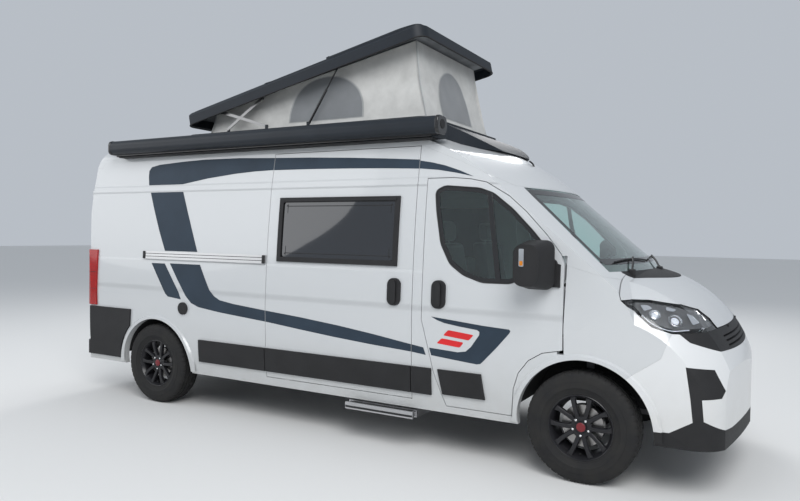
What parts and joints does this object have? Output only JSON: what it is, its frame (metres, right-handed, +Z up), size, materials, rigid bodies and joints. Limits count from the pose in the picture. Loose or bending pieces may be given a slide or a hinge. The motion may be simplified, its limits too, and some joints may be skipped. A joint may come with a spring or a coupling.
{
  "type": "camper van",
  "caption": "Long panel-van camper with pop-up sleeping roof, side awning, entry step and dark wheels, its roof raised.",
  "frame": {"origin": "on the ground, under the middle of the van's box", "axes": "+X to the front, +Y to the left side, +Z up"},
  "size_m": [5.9979, 2.508, 3.272],
  "materials": {
    "body_paint": "gloss",
    "bumper_paint": "satin",
    "black_plastic": "grained",
    "dark_metal": "satin",
    "cab_glass": "clear",
    "dark_glass": "tinted",
    "lamp_clear": "clear",
    "lamp_red": "gloss",
    "tyre": "matte",
    "wheel_black": "satin",
    "bare_aluminium": "brushed",
    "steel": "cast",
    "strut_black": "satin",
    "strut_chrome": "polished",
    "canvas": "woven",
    "seat_fabric": "woven"
  },
  "bodies": {
    "body": {"body_side_right": "body_paint", "body_side_left": "body_paint", "roof_panel": "body_paint", "sliding_door": "body_paint", "fender_right": "body_paint", "fender_left": "body_paint", "front_bumper": "bumper_paint", "rear_bumper": "black_plastic", "side_cladding": "black_plastic", "bumper_trim": "black_plastic", "window_frames": "black_plastic", "cowl": "black_plastic", "grille": "black_plastic", "dashboard": "black_plastic", "awning": "dark_metal", "roof_frame": "dark_metal", "underbody": "dark_metal", "floor_pan": "dark_metal", "front_subframe": "dark_metal", "windscreen": "cab_glass", "side_windows": "dark_glass", "headlamps": "lamp_clear", "tail_lamps": "lamp_red", "side_rail": "bare_aluminium", "step_case": "bare_aluminium", "rear_axle": "steel", "engine": "steel", "pop_top_tent": "canvas", "seats": "seat_fabric"},
    "hood": {"hood": "body_paint"},
    "front_door_right": {"front_door_right": "body_paint", "door_glass_right": "cab_glass", "door_fittings_right": "black_plastic"},
    "front_door_left": {"front_door_left": "body_paint", "door_glass_left": "cab_glass", "door_fittings_left": "black_plastic"},
    "rear_door_right": {"rear_door_right": "body_paint", "rear_glass_right": "dark_glass"},
    "rear_door_left": {"rear_door_left": "body_paint", "rear_glass_left": "dark_glass"},
    "pop_top": {"pop_top_lid": "dark_metal"},
    "arms_long": {"lid_arms_long": "bare_aluminium"},
    "arms_short": {"lid_arms_short": "bare_aluminium"},
    "strut_tubes": {"lid_strut_tubes": "strut_black"},
    "strut_rods": {"lid_strut_rods": "strut_chrome"},
    "steer_right": {"knuckle_right": "steel"},
    "steer_left": {"knuckle_left": "steel"},
    "wheel_front_right": {"tyre_front_right": "tyre", "rim_front_right": "wheel_black"},
    "wheel_front_left": {"tyre_front_left": "tyre", "rim_front_left": "wheel_black"},
    "wheel_rear_right": {"tyre_rear_right": "tyre", "rim_rear_right": "wheel_black"},
    "wheel_rear_left": {"tyre_rear_left": "tyre", "rim_rear_left": "wheel_black"},
    "step": {"step_tread": "bare_aluminium"}
  },
  "joints": [
    {"name": "steer_right", "type": "hinge", "parent": "body", "child": "steer_right", "pos_m": [2.051, -0.76, 0.372], "axis": [0, 0, 1], "range_deg": [-32, 32]},
    {"name": "steer_left", "type": "hinge", "parent": "body", "child": "steer_left", "pos_m": [2.051, 0.76, 0.372], "axis": [0, 0, 1], "range_deg": [-32, 32]},
    {"name": "wheel_front_right", "type": "hinge", "parent": "steer_right", "child": "wheel_front_right", "pos_m": [2.051, -0.905, 0.372], "axis": [0, 1, 0], "continuous": true},
    {"name": "wheel_front_left", "type": "hinge", "parent": "steer_left", "child": "wheel_front_left", "pos_m": [2.051, 0.905, 0.372], "axis": [0, 1, 0], "continuous": true},
    {"name": "wheel_rear_right", "type": "hinge", "parent": "body", "child": "wheel_rear_right", "pos_m": [-1.984, -0.895, 0.372], "axis": [0, 1, 0], "continuous": true},
    {"name": "wheel_rear_left", "type": "hinge", "parent": "body", "child": "wheel_rear_left", "pos_m": [-1.984, 0.895, 0.372], "axis": [0, 1, 0], "continuous": true},
    {"name": "front_door_right", "type": "hinge", "parent": "body", "child": "front_door_right", "pos_m": [1.916, -1, 1.13], "axis": [0, 0, 1], "range_deg": [0, 70]},
    {"name": "front_door_left", "type": "hinge", "parent": "body", "child": "front_door_left", "pos_m": [1.916, 1, 1.13], "axis": [0, 0, -1], "range_deg": [0, 70]},
    {"name": "rear_door_right", "type": "hinge", "parent": "body", "child": "rear_door_right", "pos_m": [-2.979, -0.936, 1.3], "axis": [0, 0, 1], "range_deg": [0, 96]},
    {"name": "rear_door_left", "type": "hinge", "parent": "body", "child": "rear_door_left", "pos_m": [-2.979, 0.936, 1.3], "axis": [0, 0, -1], "range_deg": [0, 96]},
    {"name": "hood", "type": "hinge", "parent": "body", "child": "hood", "pos_m": [2.25, 0, 1.385], "axis": [0, -1, 0], "range_deg": [0, 60]},
    {"name": "pop_top", "type": "hinge", "parent": "body", "child": "pop_top", "pos_m": [-2.18, 0, 2.56], "axis": [0, 1, 0], "range_deg": [0, 12], "deforming": ["pop_top_tent"]},
    {"name": "arms_long", "type": "hinge", "parent": "body", "child": "arms_long", "pos_m": [-1.382, 0, 2.585], "axis": [0, 1, 0], "range_deg": [0, 32.5]},
    {"name": "arms_short", "type": "hinge", "parent": "body", "child": "arms_short", "pos_m": [-0.899, 0, 2.58], "axis": [0, 1, 0], "range_deg": [-16.6, 0]},
    {"name": "strut_tubes", "type": "hinge", "parent": "body", "child": "strut_tubes", "pos_m": [-0.449, 0, 2.581], "axis": [0, 1, 0], "range_deg": [0, 48.7]},
    {"name": "strut_rods", "type": "slide", "parent": "strut_tubes", "child": "strut_rods", "axis": [-0.5516, 0, -0.8341], "range_m": [0, 0.2]},
    {"name": "step", "type": "slide", "parent": "body", "child": "step", "axis": [0, -1, 0], "range_m": [0, 0.25]}
  ],
  "couplings": [
    {"joint": "steer_left", "follows": "steer_right", "ratio": 1},
    {"joint": "arms_long", "follows": "pop_top", "ratio": 2.6992},
    {"joint": "arms_short", "follows": "pop_top", "ratio": -1.3733},
    {"joint": "strut_tubes", "follows": "pop_top", "ratio": 4.0489},
    {"joint": "strut_rods", "follows": "pop_top", "m_per_rad": 0.95192}
  ]
}
